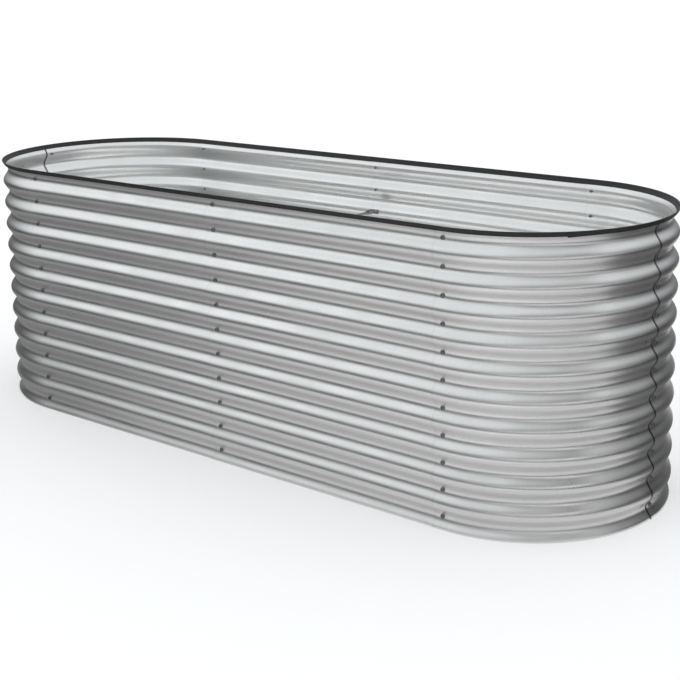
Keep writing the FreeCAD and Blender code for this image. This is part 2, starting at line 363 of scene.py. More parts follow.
def give_gauge(sizes, piece):
    """Turns the sheet's face outwards and thickens it evenly to both sides."""
    bpy.ops.mesh.select_all(action="SELECT")
    bpy.ops.mesh.remove_doubles(threshold=NEAR)
    bpy.ops.mesh.normals_make_consistent(inside=False)
    leave_edit()
    apply_modifier(piece, "SOLIDIFY", thickness=sizes.sheet_thickness, offset=0,
                   use_even_offset=True)
    edit(piece)
    for level in (0, sizes.sheet_height):
        pick("verts", lambda v: abs(v.co.z - level) < sizes.sheet_thickness)
        grow(z=0, about=(0, 0, level))
    leave_edit()
    smooth(piece)


def side_sheet(sizes, name, middle_level, side_level):
    """Front panel right of the middle, leaning between two lap levels, its end curved."""
    end_steps = 2
    slope = (side_level - middle_level) / sizes.seam_x
    bend_x = sizes.seam_x + sizes.seam_margin
    bend_level = side_level + slope * sizes.seam_margin
    piece = corrugated_strip(sizes, name, -sizes.lap_reach, bend_x)
    pick_end(-sizes.lap_reach)
    move(y=slope * sizes.lap_reach - middle_level)
    pick_end(bend_x)
    move(y=-bend_level)
    bpy.ops.mesh.spin(
        steps=end_steps,
        angle=-math.asin((sizes.lap_reach - sizes.seam_margin) / sizes.end_radius),
        center=(bend_x, -bend_level, 0), axis=(0, 0, 1))
    give_gauge(sizes, piece)
    return piece


def corner_sheet(sizes, name, side_level, end_level):
    """Quarter-round panel of the front right corner, flat at its side seam and its end lap."""
    round_steps = 24
    bend_x = sizes.seam_x + sizes.seam_margin + end_level
    lap_angle = math.asin(sizes.lap_reach / sizes.end_radius)
    piece = corrugated_strip(sizes, name, sizes.seam_x - sizes.lap_reach, bend_x)
    bpy.ops.mesh.select_all(action="SELECT")
    move(y=-side_level)
    pick_end(bend_x)
    centre = (bend_x, -side_level, 0)
    bpy.ops.mesh.spin(
        steps=round_steps, angle=lap_angle - math.pi / 2, center=centre, axis=(0, 0, 1))
    bpy.ops.mesh.spin(steps=1, angle=-2 * lap_angle, center=centre, axis=(0, 0, 1))
    give_gauge(sizes, piece)
    return piece


def mirror_sheet(piece, x, y):
    """Turns or mirrors a finished sheet about the bed's middle."""
    edit(piece)
    grow(x, y, 1)
    if x * y < 0:
        bpy.ops.mesh.select_all(action="SELECT")
        bpy.ops.mesh.flip_normals()
    leave_edit()


# ---- Fasteners ----

def head_seat(sizes):
    """Level of a bolt head's underside, whose rim bridges the outer sheet's valley."""
    foot = level_at(sizes, sizes.edge_margin + sizes.head_diameter / 2)
    return lap_step(sizes) / 2 + foot + sizes.sheet_thickness / 2 + sizes.seat_gap


def nut_seat(sizes):
    """Level of a nut's face against the inner sheet."""
    valley = level_at(sizes, sizes.edge_margin)
    return valley - lap_step(sizes) / 2 - sizes.sheet_thickness / 2 - sizes.seat_gap


def turn_on(steps):
    """Carries the selected round face along -Y through steps of (distance, share of its size)."""
    for distance, share in steps:
        bpy.ops.mesh.extrude_region_move(TRANSFORM_OT_translate={"value": (0, -distance, 0)})
        bpy.ops.transform.resize(value=(share, 1, share))


def bolt(sizes, reach):
    """Bolt along Y with its seat at the origin: chamfered thread, flange, dome, cross recess."""
    radius = sizes.bolt_diameter / 2
    tip, root, turns = 0.86, 0.88, 3
    bpy.ops.mesh.primitive_circle_add(
        vertices=12, radius=radius * tip, fill_type="NGON", location=(0, reach, 0),
        rotation=(math.pi / 2, 0, 0))
    piece = new_piece("bolt")
    edit(piece)
    chamfer = radius * 0.16
    turn_on([(chamfer, 1 / tip)])
    for _ in range(turns):
        turn_on([(chamfer, root), (chamfer, 1 / root)])
    turn_on([(reach - chamfer * (1 + 2 * turns), 1)])
    head, high = sizes.head_diameter / 2, sizes.head_height
    turn_on([(0, head / radius)])
    flange = [(high * 0.22, 1), (high * 0.08, 0.93)]
    dome = [(high * 0.22, 0.93), (high * 0.2, 0.86), (high * 0.17, 0.78), (high * 0.11, 0.62)]
    turn_on(flange + dome)
    turn_outwards()
    leave_edit()
    arm_length, arm_height, arm_width = head * 0.62, high * 0.7, head * 0.17
    top = (0, -high, 0)
    for quarter in range(2):
        bpy.ops.mesh.primitive_cube_add(size=1, location=top)
        arm = new_piece("recess")
        edit(arm)
        grow(arm_length, arm_height, arm_width, about=top)
        if quarter:
            bpy.ops.transform.rotate(value=math.pi / 2, orient_axis="Y", center_override=top)
        leave_edit()
        cut_with(piece, arm)
    smooth(piece, 40)
    return piece


def nut(sizes):
    """Hexagon nut along Y with its face at the origin, its corners turned to a chamfer."""
    radius, high = sizes.nut_width / 2, sizes.nut_height
    barrel_share, chamfer_share = 0.99, 0.14
    bpy.ops.mesh.primitive_cylinder_add(
        vertices=6, radius=radius, depth=high, location=(0, high / 2, 0),
        rotation=(math.pi / 2, 0, 0))
    piece = new_piece("nut")
    bpy.ops.mesh.primitive_cylinder_add(
        vertices=24, radius=radius * barrel_share, depth=high, location=(0, high / 2, 0),
        rotation=(math.pi / 2, 0, 0))
    barrel = new_piece("barrel")
    edit(barrel)
    pick("edges", lambda e: abs(e.verts[0].co.y - e.verts[1].co.y) < NEAR)
    bpy.ops.mesh.bevel(offset=radius * chamfer_share, segments=1, affect="EDGES")
    leave_edit()
    cut_with(piece, barrel, "INTERSECT")
    bpy.ops.mesh.primitive_cylinder_add(
        vertices=12, radius=sizes.bolt_diameter / 2 + sizes.seat_gap, depth=3 * high,
        location=(0, high / 2, 0), rotation=(math.pi / 2, 0, 0))
    cut_with(piece, new_piece("bore"))
    smooth(piece, 30)
    return piece


def seam_matrix(sizes, seam, level, z):
    """Stands a fastener made at the origin against the wall at one seam and height."""
    side, at_end, heading = SEAMS[seam]
    turn = Matrix.Rotation(math.radians(heading + 90), 4, "Z")
    reach = sizes.end_radius
    if at_end:
        lap_turn = math.asin(sizes.lap_reach / sizes.end_radius)
        reach = sizes.seam_x + sizes.seam_margin + sizes.end_radius * math.cos(lap_turn)
    away = Matrix.Translation((0, -(reach + level), 0))
    along = Matrix.Translation((0 if at_end else side * sizes.seam_x, 0, z))
    return along @ turn @ away


def braced(sizes, seam, z):
    rows = bolt_rows(sizes)
    return seam.endswith("middle") and abs(z - rows[-sizes.brace_row]) < NEAR


def on_seam(sizes, seam, make, name, level, loose_turn, skip_brace):
    """One fastener in each valley of a seam, each turned a little differently."""
    chance = random.Random(name)
    pieces = []
    for z in bolt_rows(sizes):
        holds_brace = braced(sizes, seam, z)
        if skip_brace and holds_brace:
            continue
        model = make(holds_brace)
        spin = Matrix.Rotation(chance.uniform(-loose_turn, loose_turn), 4, "Y")
        pieces.append(copy_of(model, seam_matrix(sizes, seam, level, z) @ spin))
    return join(pieces, name)


# ---- Rim trim ----

def trim_section(sizes):
    """Upright U-shaped face on the front wall where the right end begins to curve."""
    columns, rows = 3, 8
    top_round, lip_round = sizes.trim_wall * 0.7, sizes.trim_wall * 0.4
    groove = lap_step(sizes) / 2 + sizes.sheet_thickness / 2 + sizes.trim_gap
    skin = groove + sizes.trim_wall
    top = sizes.sheet_height + sizes.trim_wall
    bottom = top - sizes.trim_height
    start_x = sizes.seam_x + sizes.seam_margin
    bpy.ops.mesh.primitive_grid_add(
        x_subdivisions=columns, y_subdivisions=rows, size=1,
        rotation=(math.pi / 2, 0, math.pi / 2))
    piece = new_piece("edge_trim")
    edit(piece)
    grow(1, 2 * skin, sizes.trim_height)
    move(start_x, 0, (top + bottom) / 2)
    pick("verts", lambda v: abs(abs(v.co.y) - skin / columns) < NEAR)
    grow(y=columns * groove / skin)
    pick("verts", lambda v: bottom < v.co.z - NEAR and top > v.co.z + NEAR)
    under_top = sizes.trim_height * (rows - 1) / rows
    grow(z=(sizes.sheet_height - bottom) / under_top, about=(0, 0, bottom))
    pick("faces", lambda f: abs(f.calc_center_median().y) < groove / 2
         and f.calc_center_median().z < sizes.sheet_height)
    bpy.ops.mesh.delete(type="FACE")
    pick("verts", lambda v: v.co.z > top - NEAR and abs(v.co.y) > groove + CLOSE)
    bpy.ops.mesh.bevel(offset=top_round, segments=4, affect="VERTICES")
    pick("verts", lambda v: v.co.z < bottom + NEAR and abs(v.co.y) > groove + CLOSE)
    bpy.ops.mesh.bevel(offset=lip_round, segments=2, affect="VERTICES")
    lean_with_wall(sizes, piece)
    return piece


def lean_with_wall(sizes, piece):
    """Moves each height of the section out to the sheet's own line there."""
    mesh = bmesh.from_edit_mesh(piece.data)
    heights = sorted({round(v.co.z, 6) for v in mesh.verts})
    for height in heights:
        pick("verts", lambda v: abs(v.co.z - height) < 2 * NEAR)
        move(y=-sizes.end_radius - level_at(sizes, height))


def sweep_round(centre_x, first, last, steps):
    """Carries the selected end round a centre on the X axis, between angles from that axis."""
    bpy.ops.mesh.spin(
        steps=steps, angle=-math.radians(last - first), center=(centre_x, 0, 0), axis=(0, 0, 1))


def sweep_straight(distance):
    bpy.ops.mesh.extrude_region_move(TRANSFORM_OT_translate={"value": (distance, 0, 0)})


def rim_trim(sizes):
    """One strip pushed onto the whole rim, its two ends meeting on the right end."""
    first_steps, round_steps, last_steps = 14, 26, 13
    piece = trim_section(sizes)
    start_x = sizes.seam_x + sizes.seam_margin
    flat = math.degrees(math.asin(sizes.lap_reach / sizes.end_radius))
    half_gap = math.degrees(sizes.joint_gap / 2 / sizes.end_radius)
    joint = math.degrees(sizes.joint_angle)
    bpy.ops.mesh.select_all(action="SELECT")
    bpy.ops.transform.rotate(
        value=-math.radians(90 + joint + half_gap), orient_axis="Z",
        center_override=(start_x, 0, 0))
    sweep_round(start_x, joint + half_gap, -flat, first_steps)
    sweep_round(start_x, -flat, flat, 1)
    sweep_round(start_x, flat, 90, round_steps)
    sweep_straight(-2 * start_x)
    sweep_round(-start_x, 90, 180 - flat, round_steps)
    sweep_round(-start_x, 180 - flat, 180 + flat, 1)
    sweep_round(-start_x, 180 + flat, 270, round_steps)
    sweep_straight(2 * start_x)
    sweep_round(start_x, -90, joint - half_gap, last_steps)
    bpy.ops.mesh.select_all(action="SELECT")
    bpy.ops.mesh.remove_doubles(threshold=NEAR)
    bpy.ops.mesh.normals_make_consistent(inside=False)
    drop_lip(sizes, joint + half_gap, -(flat + joint + half_gap) / first_steps)
    leave_edit()
    smooth(piece)
    return piece


def drop_lip(sizes, joint, step):
    """Beside the joint, the outer lip of one end was pushed on less straight and hangs lower."""
    centre_x = sizes.seam_x + sizes.seam_margin
    lip_top = sizes.sheet_height + 2 * sizes.trim_wall - sizes.trim_height
    rings = 5
    before, past = -step / 30, step / 3

    def on_lip(vertex, angle):
        x, y, z = vertex.co.x - centre_x, vertex.co.y, vertex.co.z
        return (z < lip_top and math.hypot(x, y) > sizes.end_radius + level_at(sizes, z)
                and before < math.degrees(math.atan2(y, x)) - angle < past)

    for ring in range(rings):
        pick("verts", lambda v: on_lip(v, joint + ring * step))
        move(z=-sizes.lip_drop * (1 - ring / rings) ** 2)


# ---- Brace ----

def brace_height(sizes):
    return bolt_rows(sizes)[-sizes.brace_row]


def brace_half(sizes):
    """Back half of the brace: rod, pressed-flat leg and the foot turned along the wall."""
    wall_y = sizes.end_radius + nut_seat(sizes)
    high, thick = sizes.strip_height, sizes.strip_thickness
    rod_x = -sizes.foot_offset
    outer = sizes.strip_bend + thick
    pivot = (rod_x - thick / 2 + outer, wall_y - outer, 0)
    leg_y = wall_y - sizes.strip_length
    z = brace_height(sizes)
    bpy.ops.mesh.primitive_plane_add(size=1, location=(rod_x, leg_y, z),
                                     rotation=(math.pi / 2, 0, 0))
    piece = new_piece("brace_rod")
    edit(piece)
    grow(thick, 1, high, about=(rod_x, leg_y, z))
    edge_round = thick * 0.48
    bpy.ops.mesh.bevel(offset=edge_round, segments=5, affect="VERTICES")
    bpy.ops.mesh.select_all(action="SELECT")
    bpy.ops.mesh.extrude_region_move(
        TRANSFORM_OT_translate={"value": (0, pivot[1] - leg_y, 0)})
    bpy.ops.mesh.spin(steps=8, angle=math.pi / 2, center=pivot, axis=(0, 0, 1))
    bpy.ops.mesh.extrude_region_move(
        TRANSFORM_OT_translate={"value": (sizes.foot_tail - pivot[0], 0, 0)})
    pick("faces", lambda f: abs(f.calc_center_median().y - leg_y) < NEAR
         and abs(f.normal.y) > 0.9)
    bpy.ops.mesh.delete(type="ONLY_FACE")
    rod_y = leg_y - sizes.taper_length
    bpy.ops.mesh.primitive_circle_add(
        vertices=24, radius=sizes.brace_diameter / 2, location=(rod_x, rod_y, z),
        rotation=(math.pi / 2, 0, 0))
    pick("edges", lambda e: e.is_boundary and abs(e.verts[0].co.y - leg_y) < NEAR
         or e.is_wire)
    bpy.ops.mesh.bridge_edge_loops(number_cuts=5, interpolation="PATH")
    pick("edges", lambda e: all(abs(v.co.y - rod_y) < NEAR for v in e.verts))
    bpy.ops.mesh.extrude_region_move(TRANSFORM_OT_translate={"value": (0, -rod_y, 0)})
    leave_edit()
    return piece


def drill(sizes, piece, diameter, centre, axis_x):
    """Cuts one hole through the flat of the brace."""
    turn = (0, math.pi / 2, 0) if axis_x else (math.pi / 2, 0, 0)
    bpy.ops.mesh.primitive_cylinder_add(
        vertices=24, radius=diameter / 2, depth=4 * sizes.strip_thickness, location=centre,
        rotation=turn)
    cut_with(piece, new_piece("drill"))


def brace_rod(sizes):
    piece = brace_half(sizes)
    apply_modifier(piece, "MIRROR", use_axis=(False, True, False), merge_threshold=CLOSE)
    edit(piece)
    bpy.ops.mesh.normals_make_consistent(inside=False)
    leave_edit()
    wall_y = sizes.end_radius + nut_seat(sizes)
    z = brace_height(sizes)
    for side in (-1, 1):
        foot_y = side * (wall_y - sizes.strip_thickness / 2)
        drill(sizes, piece, sizes.bolt_diameter + HOLE_CLEARANCE, (0, foot_y, z), False)
        leg = (-sizes.foot_offset, side * (wall_y - sizes.pilot_reach), z)
        drill(sizes, piece, sizes.bolt_diameter, leg, True)
    smooth(piece, 40)
    return piece


def wing_nut(sizes):
    """Wing nut along -Y with its face at the origin: a stepped hub and two rounded ears."""
    radius, high = sizes.hub_diameter / 2, sizes.hub_height
    bpy.ops.mesh.primitive_circle_add(
        vertices=20, radius=radius, fill_type="NGON", rotation=(math.pi / 2, 0, 0))
    piece = new_piece("wing_nut")
    edit(piece)
    collar = [(high * 0.3, 1), (high * 0.12, 0.88)]
    turn_on(collar + [(high * 0.5, 0.94), (high * 0.08, 0.9)])
    turn_outwards()
    leave_edit()
    for side in (-1, 1):
        cut_with(piece, wing(sizes, side), "UNION")
    bpy.ops.mesh.primitive_cylinder_add(
        vertices=12, radius=sizes.bolt_diameter / 2 + sizes.seat_gap, depth=4 * high,
        rotation=(math.pi / 2, 0, 0))
    cut_with(piece, new_piece("bore"))
    smooth(piece, 40)
    return piece


def wing(sizes, side):
    """One ear, carried outward and away from the wall from its root in the hub."""
    high, thick = sizes.hub_height, sizes.wing_thickness
    root, tip = sizes.hub_diameter / 4, sizes.wing_span / 2
    inner_tip = tip - sizes.wing_width
    bpy.ops.mesh.primitive_plane_add(size=1, rotation=(0, math.pi / 2, 0))
    ear = new_piece("wing")
    edit(ear)
    deep = high - thick
    grow(1, deep, thick)
    move(side * root, -thick - deep / 2, 0)
    low_share = (inner_tip - root) / (tip - root)
    mid_low = thick + low_share * deep
    mid_deep = high + sizes.wing_rise - mid_low
    bpy.ops.mesh.extrude_region_move(TRANSFORM_OT_translate={"value": (
        side * (inner_tip - root), -(mid_low + mid_deep / 2 - thick - deep / 2), 0)})
    bpy.ops.transform.resize(value=(1, mid_deep / deep, 1))
    end_low, end_deep = high, sizes.wing_rise
    bpy.ops.mesh.extrude_region_move(TRANSFORM_OT_translate={"value": (
        side * (tip - inner_tip), -(end_low + end_deep / 2 - mid_low - mid_deep / 2), 0)})
    bpy.ops.transform.resize(value=(1, end_deep / mid_deep, 1))
    turn_outwards()
    edge_round = thick * 0.35
    bpy.ops.mesh.bevel(offset=edge_round, segments=3, affect="EDGES")
    leave_edit()
    return ear


# ---- UV ----

def lay_out_uv(sizes, piece):
    """UV maps in metres: along the wall and up, and the distances to the panel's two ends."""
    bend_x = sizes.seam_x + sizes.seam_margin
    radius = sizes.end_radius
    mesh = piece.data
    side = 1 if sum(v.co.x for v in mesh.vertices) > 0 else -1

    def along(co):
        x = side * co.x
        if x > bend_x:
            return bend_x + math.atan2(x - bend_x, -co.y) * radius
        return x if co.y < 0 else 2 * bend_x + math.pi * radius - x

    places = [along(v.co) for v in mesh.vertices]
    first, last = min(places), max(places)
    wall = mesh.uv_layers.new(name="wall")
    ends = mesh.uv_layers.new(name="ends")
    for loop in mesh.loops:
        place = places[loop.vertex_index]
        wall.data[loop.index].uv = (side * place, mesh.vertices[loop.vertex_index].co.z)
        ends.data[loop.index].uv = (place - first, last - place)


# ---- Materials ----

def node_tree(name):
    material = bpy.data.materials.new(name)
    material.use_nodes = True
    tree = material.node_tree
    shader = tree.nodes["Principled BSDF"]
    return material, tree, shader


def feed(tree, entry, value):
    """Links a node's input to another node's output, or sets it to a plain value."""
    if isinstance(value, bpy.types.NodeSocket):
        tree.links.new(value, entry)
    else:
        entry.default_value = value


def node(tree, kind, **settings):
    """A new node; a setting that names one of its inputs sets or links that input."""
    made = tree.nodes.new(kind)
    for key, value in settings.items():
        if key in made.inputs:
            feed(tree, made.inputs[key], value)
        else:
            setattr(made, key, value)
    return made


def maths(tree, operation, *values):
    """Result of a Math node."""
    made = node(tree, "ShaderNodeMath", operation=operation)
    for entry, value in zip(made.inputs, values):
        feed(tree, entry, value)
    return made.outputs["Value"]


def axes(tree, vector):
    """X, Y and Z of a vector."""
    return node(tree, "ShaderNodeSeparateXYZ", Vector=vector).outputs


def stretch(tree, value, low, high, first=0.0, last=1.0, course="SMOOTHSTEP"):
    """Maps a value from one range to another."""
    made = node(tree, "ShaderNodeMapRange", interpolation_type=course, Value=value)
    for name, number in (("From Min", low), ("From Max", high), ("To Min", first),
                         ("To Max", last)):
        made.inputs[name].default_value = number
    return made.outputs["Result"]


def blend(tree, kind, share, first, second):
    """Mixes two numbers (FLOAT) or two colours (RGBA)."""
    entry, result = {"FLOAT": (2, 0), "RGBA": (6, 2)}[kind]
    made = node(tree, "ShaderNodeMix", data_type=kind)
    feed(tree, made.inputs[0], share)
    feed(tree, made.inputs[entry], first)
    feed(tree, made.inputs[entry + 1], second)
    return made.outputs[result]


def noise(tree, place, scale, detail, drawn_out=None):
    """Noise at a place, with another scale along each axis if one is given."""
    if drawn_out:
        place = node(tree, "ShaderNodeMapping", Vector=place, Scale=drawn_out).outputs["Vector"]
    return node(tree, "ShaderNodeTexNoise", Vector=place, Scale=scale, Detail=detail).outputs["Fac"]


def bump(tree, height, strength, distance):
    return node(tree, "ShaderNodeBump", Height=height, Strength=strength, Distance=distance)


def finish_shader(tree, shader, **inputs):
    """Sets or links the main shader's inputs, named with _ for each space."""
    for name, value in inputs.items():
        feed(tree, shader.inputs[name.replace("_", " ")], value)


def tint(tree, base, share):
    """A colour made darker or paler."""
    scaled = node(tree, "ShaderNodeVectorMath", operation="SCALE", Scale=share)
    scaled.inputs[0].default_value = base
    return scaled.outputs["Vector"]


def lap_shade_and_grime(tree, place):
    """Brightness share that falls along a panel's cut ends, most at the rounded ends: painted shade
    of the gap under each lap, with some grime.
    """
    ends = axes(tree, node(tree, "ShaderNodeUVMap", uv_map="ends").outputs["UV"])
    nearest = maths(tree, "MINIMUM", ends["X"], ends["Y"])
    ragged = noise(tree, place, 120.0, 3.0)
    reach = stretch(tree, ragged, 0, 1, 0.005, 0.012, course="LINEAR")
    clear = stretch(tree, maths(tree, "DIVIDE", nearest, reach), 0.3, 1.0)
    far = maths(tree, "ABSOLUTE", axes(tree, place)["X"])
    # The painted shade is darkest at the rounded ends.
    darkest = stretch(tree, far, 1.0, 1.15, 0.94, 0.14)
    return blend(tree, "FLOAT", clear, darkest, 1.0)


def coated_sheet(base):
    """Zinc-aluminium coating: a fine spangle, faint rolling streaks and soft waviness."""
    material, tree, shader = node_tree(SHEET_FINISH)
    place = node(tree, "ShaderNodeTexCoord").outputs["Object"]
    wall = node(tree, "ShaderNodeUVMap", uv_map="wall").outputs["UV"]
    spangle = node(tree, "ShaderNodeTexVoronoi", Vector=place, Scale=420.0).outputs
    streaks = noise(tree, wall, 1.0, 4.0, (1.5, 260.0, 1.0))
    clouds = noise(tree, place, 9.0, 3.0)
    waves = noise(tree, wall, 1.0, 2.0, (2.2, 9.0, 1.0))
    spangle_tone = stretch(tree, spangle["Color"], 0, 1, 0.95, 1.04, course="LINEAR")
    streak_tone = stretch(tree, streaks, 0.3, 0.7, 0.96, 1.04, course="LINEAR")
    both = maths(tree, "MULTIPLY", spangle_tone, streak_tone)
    # The coating's colour carries painted shade along the laps' cut ends, with some grime.
    tone_with_lap_shade = maths(tree, "MULTIPLY", both, lap_shade_and_grime(tree, place))
    grain = bump(tree, spangle["Distance"], 0.08, 0.0002)
    feed(tree, grain.inputs["Normal"], bump(tree, waves, 0.35, 0.004).outputs["Normal"])
    finish_shader(
        tree, shader, Base_Color=tint(tree, base, tone_with_lap_shade), Metallic=1.0,
        Roughness=stretch(tree, clouds, 0.3, 0.7, 0.27, 0.37, course="LINEAR"),
        Normal=grain.outputs["Normal"])
    return material


def plated_steel(name, base, roughness):
    """Dull zinc plating with a mottled tone and a fine grain."""
    material, tree, shader = node_tree(name)
    place = node(tree, "ShaderNodeTexCoord").outputs["Object"]
    mottle = noise(tree, place, 500.0, 4.0)
    tone = stretch(tree, mottle, 0.3, 0.7, 0.75, 1.15, course="LINEAR")
    smoothest, roughest = roughness - 0.08, roughness + 0.12
    finish_shader(
        tree, shader, Base_Color=tint(tree, base, tone), Metallic=1.0,
        Roughness=stretch(tree, mottle, 0, 1, smoothest, roughest, course="LINEAR"),
        Normal=bump(tree, mottle, 0.2, 0.0001).outputs["Normal"])
    return material


def trim_rubber(base):
    """Extruded black rubber, satin, with lengthwise die lines and a little dust."""
    material, tree, shader = node_tree("trim_rubber")
    place = node(tree, "ShaderNodeTexCoord").outputs["Object"]
    die_lines = noise(tree, place, 1.0, 2.0, (3.0, 3.0, 900.0))
    dust = noise(tree, place, 60.0, 5.0)
    dust_share = stretch(tree, dust, 0.45, 0.8, 0, 0.35, course="LINEAR")
    dust_grey = (0.05, 0.05, 0.049, 1)
    finish_shader(
        tree, shader, Base_Color=blend(tree, "RGBA", dust_share, (*base, 1), dust_grey),
        Roughness=stretch(tree, dust, 0, 1, 0.42, 0.62, course="LINEAR"),
        Normal=bump(tree, die_lines, 0.15, 0.0002).outputs["Normal"],
        Specular_IOR_Level=0.3)
    return material


# ---- Operators ----

def add_panels(scene, kind, make, places):
    """One kind of panel at its places, mirrored from the front right one."""
    sizes = scene.bed_sizes
    material = bpy.data.materials.get(SHEET_FINISH) or coated_sheet(scene.bed_colours.sheet)
    for place in places:
        x, y = MIRRORED[place]
        level = x * y * lap_step(sizes) / 2
        piece = make(sizes, f"{kind}_sheet_{place}", level, -level)
        mirror_sheet(piece, x, y)
        lay_out_uv(sizes, piece)
        finish_piece(piece, material, "coated_sheet", f"{kind}_panel_{place}")


class BED_OT_side_panels(bpy.types.Operator):
    """Four straight corrugated panels of the long sides"""

    bl_idname = "bed.side_panels"
    bl_label = "Side panels"
    bl_options = {"REGISTER", "UNDO"}

    def execute(self, context):
        add_panels(context.scene, "side", side_sheet,
                   ("front_right", "back_left", "front_left", "back_right"))
        return {"FINISHED"}


class BED_OT_corner_panels(bpy.types.Operator):
    """Four corrugated panels rolled to a quarter round"""

    bl_idname = "bed.corner_panels"
    bl_label = "Corner panels"
    bl_options = {"REGISTER", "UNDO"}

    def execute(self, context):
        add_panels(context.scene, "corner", corner_sheet,
                   ("front_right", "back_left", "back_right", "front_left"))
        return {"FINISHED"}


class BED_OT_bolts(bpy.types.Operator):
    """A bolt in every valley of the eight seams"""

    bl_idname = "bed.bolts"
    bl_label = "Bolts"
    bl_options = {"REGISTER", "UNDO"}

    def execute(self, context):
        sizes = context.scene.bed_sizes
        material = plated_steel("bolt_steel", context.scene.bed_colours.bolts, 0.38)
        reach = head_seat(sizes) - nut_seat(sizes) + sizes.bolt_tip
        plain = bolt(sizes, reach + sizes.nut_height)
        longer = bolt(sizes, reach + sizes.strip_thickness + sizes.seat_gap + sizes.hub_height)
        for seam in SEAMS:
            piece = on_seam(sizes, seam, lambda holds: longer if holds else plain,
                            "seam_bolts_" + seam, head_seat(sizes), math.pi, False)
            finish_piece(piece, material, "bolts", "bolts_" + seam)
        bpy.data.objects.remove(plain)
        bpy.data.objects.remove(longer)
        return {"FINISHED"}


class BED_OT_nuts(bpy.types.Operator):
    """A hexagon nut on every bolt that doesn't hold the brace"""

    bl_idname = "bed.nuts"
    bl_label = "Nuts"
    bl_options = {"REGISTER", "UNDO"}

    def execute(self, context):
        sizes = context.scene.bed_sizes
        material = plated_steel("nut_steel", context.scene.bed_colours.nuts, 0.34)
        model = nut(sizes)
        for seam in SEAMS:
            piece = on_seam(sizes, seam, lambda holds: model, "seam_nuts_" + seam,
                            nut_seat(sizes), math.pi / 3, True)
            finish_piece(piece, material, "nuts", "nuts_" + seam)
        bpy.data.objects.remove(model)
        return {"FINISHED"}


class BED_OT_rim_trim(bpy.types.Operator):
    """Rubber strip round the whole rim"""

    bl_idname = "bed.rim_trim"
    bl_label = "Rim trim"
    bl_options = {"REGISTER", "UNDO"}

    def execute(self, context):
        material = trim_rubber(context.scene.bed_colours.trim)
        finish_piece(rim_trim(context.scene.bed_sizes), material, "edge_trim", "rim_trim")
        return {"FINISHED"}


class BED_OT_brace(bpy.types.Operator):
    """Rod between the long sides, with flattened and turned ends"""

    bl_idname = "bed.brace"
    bl_label = "Brace"
    bl_options = {"REGISTER", "UNDO"}

    def execute(self, context):
        material = plated_steel("brace_steel", context.scene.bed_colours.brace, 0.36)
        finish_piece(brace_rod(context.scene.bed_sizes), material, "brace", "brace")
        return {"FINISHED"}


class BED_OT_wing_nuts(bpy.types.Operator):
    """Two wing nuts that hold the brace's feet"""

    bl_idname = "bed.wing_nuts"
    bl_label = "Wing nuts"
    bl_options = {"REGISTER", "UNDO"}

    def execute(self, context):
        sizes = context.scene.bed_sizes
        material = plated_steel("wing_nut_steel", context.scene.bed_colours.wing_nuts, 0.44)
        model = wing_nut(sizes)
        face_y = sizes.end_radius + nut_seat(sizes) - sizes.strip_thickness - sizes.seat_gap
        pieces = []
        for heading in (0, math.pi):
            place = (Matrix.Rotation(heading, 4, "Z")
                     @ Matrix.Translation((0, face_y, brace_height(sizes)))
                     @ Matrix.Rotation(sizes.wing_turn, 4, "Y"))
            pieces.append(copy_of(model, place))
        bpy.data.objects.remove(model)
        finish_piece(join(pieces, "brace_nuts"), material, "wing_nuts", "brace_wing_nuts")
        return {"FINISHED"}


class BED_OT_stage(bpy.types.Operator):
    """Pale floor, white surroundings, soft lights and the camera"""

    bl_idname = "bed.stage"
    bl_label = "Stage, lights and camera"
    bl_options = {"REGISTER", "UNDO"}

    def execute(self, context):
        make_floor(context.scene.bed_colours.floor)
        make_world(context.scene)
        make_glowing_ring()
        make_lights()
        make_camera(context.scene)
        context.scene.view_settings.view_transform = "Standard"
        return {"FINISHED"}


def make_floor(base):
    """Floor whose glow the camera and reflections see, and the bed isn't lit by."""
    deselect_all()
    bpy.ops.mesh.primitive_plane_add(size=60)
    floor = new_piece("floor")
    material, tree, shader = node_tree("pale_floor")
    path = node(tree, "ShaderNodeLightPath").outputs
    eye = maths(tree, "MAXIMUM", path["Is Camera Ray"], path["Is Glossy Ray"])
    seen = maths(tree, "MAXIMUM", eye, path["Is Transmission Ray"])
    glow = maths(tree, "MULTIPLY", seen, FLOOR_GLOW)
    # The ground inside the bed shows paler in the sheets' reflections.
    strength = maths(tree, "MULTIPLY_ADD", path["Is Glossy Ray"], MIRRORED_GLOW, glow)
    finish_shader(tree, shader, Base_Color=(*base, 1), Roughness=0.9,
                  Emission_Color=(1, 1, 1, 1), Emission_Strength=strength)
    floor.data.materials.append(material)


def make_world(scene):
    """White to the camera, a little bluer as light."""
    world = bpy.data.worlds.new("studio")
    scene.world = world
    world.use_nodes = True
    tree = world.node_tree
    path = node(tree, "ShaderNodeLightPath").outputs
    daylight, white = (0.955, 0.98, 1.0, 1), (1, 1, 1, 1)
    back = tree.nodes["Background"]
    back.inputs["Strength"].default_value = 1.0
    feed(tree, back.inputs["Color"], blend(tree, "RGBA", path["Is Camera Ray"], daylight, white))


def make_glowing_ring():
    """Glowing studio card round the bed that only reflections see, so that bare metal has contrast:
    its painted tones stand in for shaded ground and dark surroundings.
    """
    deselect_all()
    bpy.ops.mesh.primitive_circle_add(vertices=96, radius=1, fill_type="NOTHING")
    ring = new_piece("reflector_ring")
    edit(ring)
    grow(*RING_START, 1)
    lift_off_floor = 0.004
    move(z=lift_off_floor)
    bpy.ops.mesh.extrude_edges_move()
    grow(RING_RADIUS / RING_START[0], RING_RADIUS / RING_START[1], 1)
    bpy.ops.mesh.extrude_edges_move(TRANSFORM_OT_translate={"value": (0, 0, RING_HEIGHT)})
    leave_edit()
    ring.data.materials.append(reflector_card())
    ring.visible_camera = False
    ring.visible_diffuse = False
    ring.visible_shadow = False
    ring.visible_transmission = False
    ring.visible_volume_scatter = False


